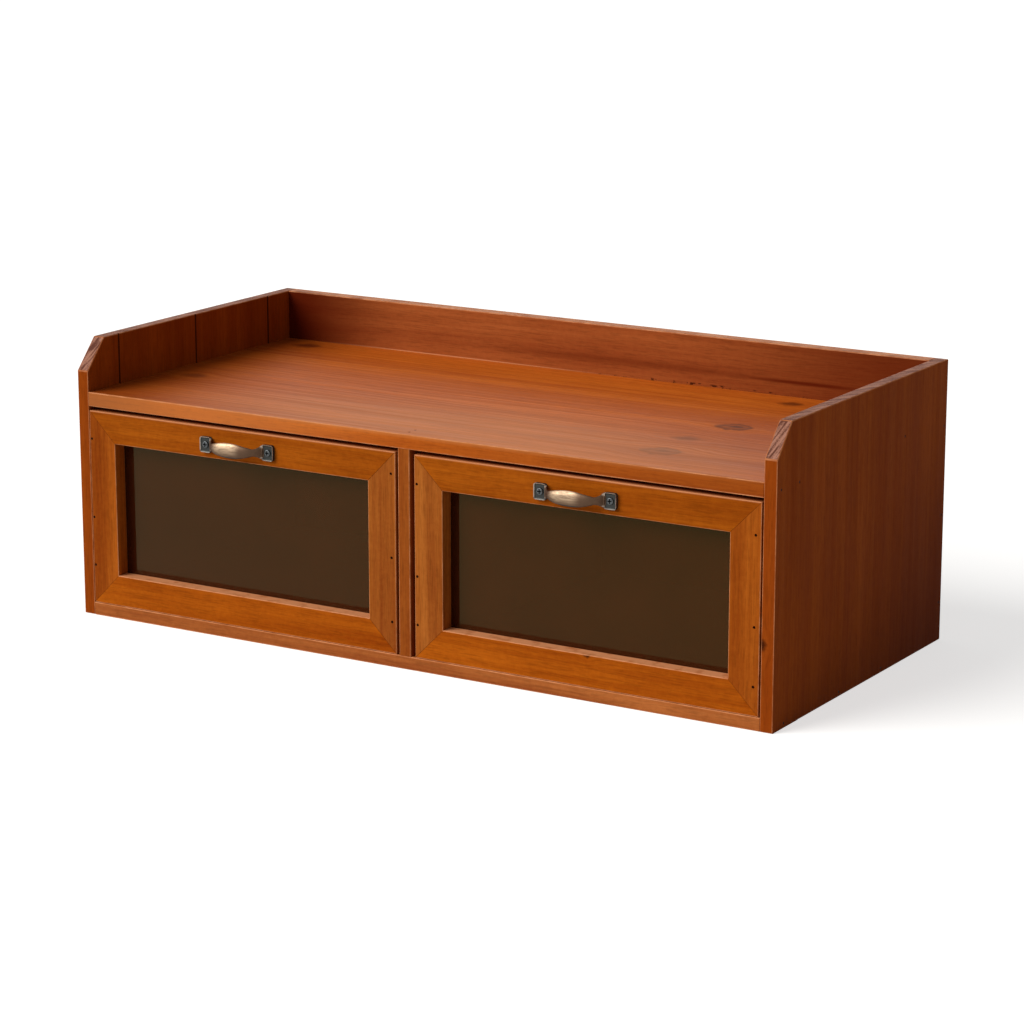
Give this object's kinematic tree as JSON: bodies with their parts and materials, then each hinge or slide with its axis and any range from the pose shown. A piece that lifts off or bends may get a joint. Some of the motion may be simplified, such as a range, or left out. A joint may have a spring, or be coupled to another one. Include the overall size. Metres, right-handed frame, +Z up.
{
  "type": "tabletop cabinet with glazed drawers",
  "caption": "Low wooden tabletop cabinet with a railed open top and side-by-side drawers with mitred glazed fronts and metal bow handles.",
  "frame": {"origin": "middle of the cabinet's footprint, on the surface that it stands on; the footprint is that of the boards, without the handles", "axes": "+X to the right seen from the front, along the width; +Y to the back; +Z up. The drawers face and open towards -Y"},
  "size_m": [0.6, 0.291, 0.216],
  "materials": {
    "side_board": "red-brown stain under satin lacquer, upright grain",
    "deck_board": "red-brown stain under satin lacquer, grain along the width, small knots",
    "carcass_board": "red-brown stain under satin lacquer",
    "back_board": "red-brown stain under satin lacquer, grain along the width",
    "front_frame": "orange-brown stain under satin lacquer, arrises rubbed lighter",
    "box_board": "red-brown stain, thin lacquer",
    "box_panel": "stained thin panel",
    "pane": "clear float glass that reads brown over the dark drawer",
    "nail_steel": "dull steel brads, darkened",
    "pull_bronze": "antique bronze, dark in the hollows and rubbed bright on the grip",
    "screw_steel": "blackened steel, cross slot"
  },
  "bodies": {
    "carcass": {"left_side_board_1": "side_board", "left_side_board_2": "side_board", "left_side_board_3": "side_board", "left_side_board_4": "side_board", "right_side_board_1": "side_board", "right_side_board_2": "side_board", "right_side_board_3": "side_board", "right_side_board_4": "side_board", "deck": "deck_board", "bottom_board": "carcass_board", "divider": "carcass_board", "back_board": "back_board", "side_nails": "nail_steel", "divider_nails": "nail_steel", "back_nails": "nail_steel"},
    "left_drawer": {"left_top_rail": "front_frame", "left_bottom_rail": "front_frame", "left_outer_stile": "front_frame", "left_inner_stile": "front_frame", "left_glass": "pane", "left_glazing_pins": "nail_steel", "left_outer_box_side": "box_board", "left_inner_box_side": "box_board", "left_box_back": "box_board", "left_box_bottom": "box_panel", "left_front_nails": "nail_steel", "left_box_nails": "nail_steel", "left_handle": "pull_bronze", "left_handle_screws": "screw_steel"},
    "right_drawer": {"right_top_rail": "front_frame", "right_bottom_rail": "front_frame", "right_outer_stile": "front_frame", "right_inner_stile": "front_frame", "right_glass": "pane", "right_glazing_pins": "nail_steel", "right_outer_box_side": "box_board", "right_inner_box_side": "box_board", "right_box_back": "box_board", "right_box_bottom": "box_panel", "right_front_nails": "nail_steel", "right_box_nails": "nail_steel", "right_handle": "pull_bronze", "right_handle_screws": "screw_steel"}
  },
  "joints": [
    {"name": "left_drawer_slide", "type": "slide", "parent": "carcass", "child": "left_drawer", "axis": [0, -1, 0], "range_m": [0, 0.2]},
    {"name": "right_drawer_slide", "type": "slide", "parent": "carcass", "child": "right_drawer", "axis": [0, -1, 0], "range_m": [0, 0.2]}
  ]
}
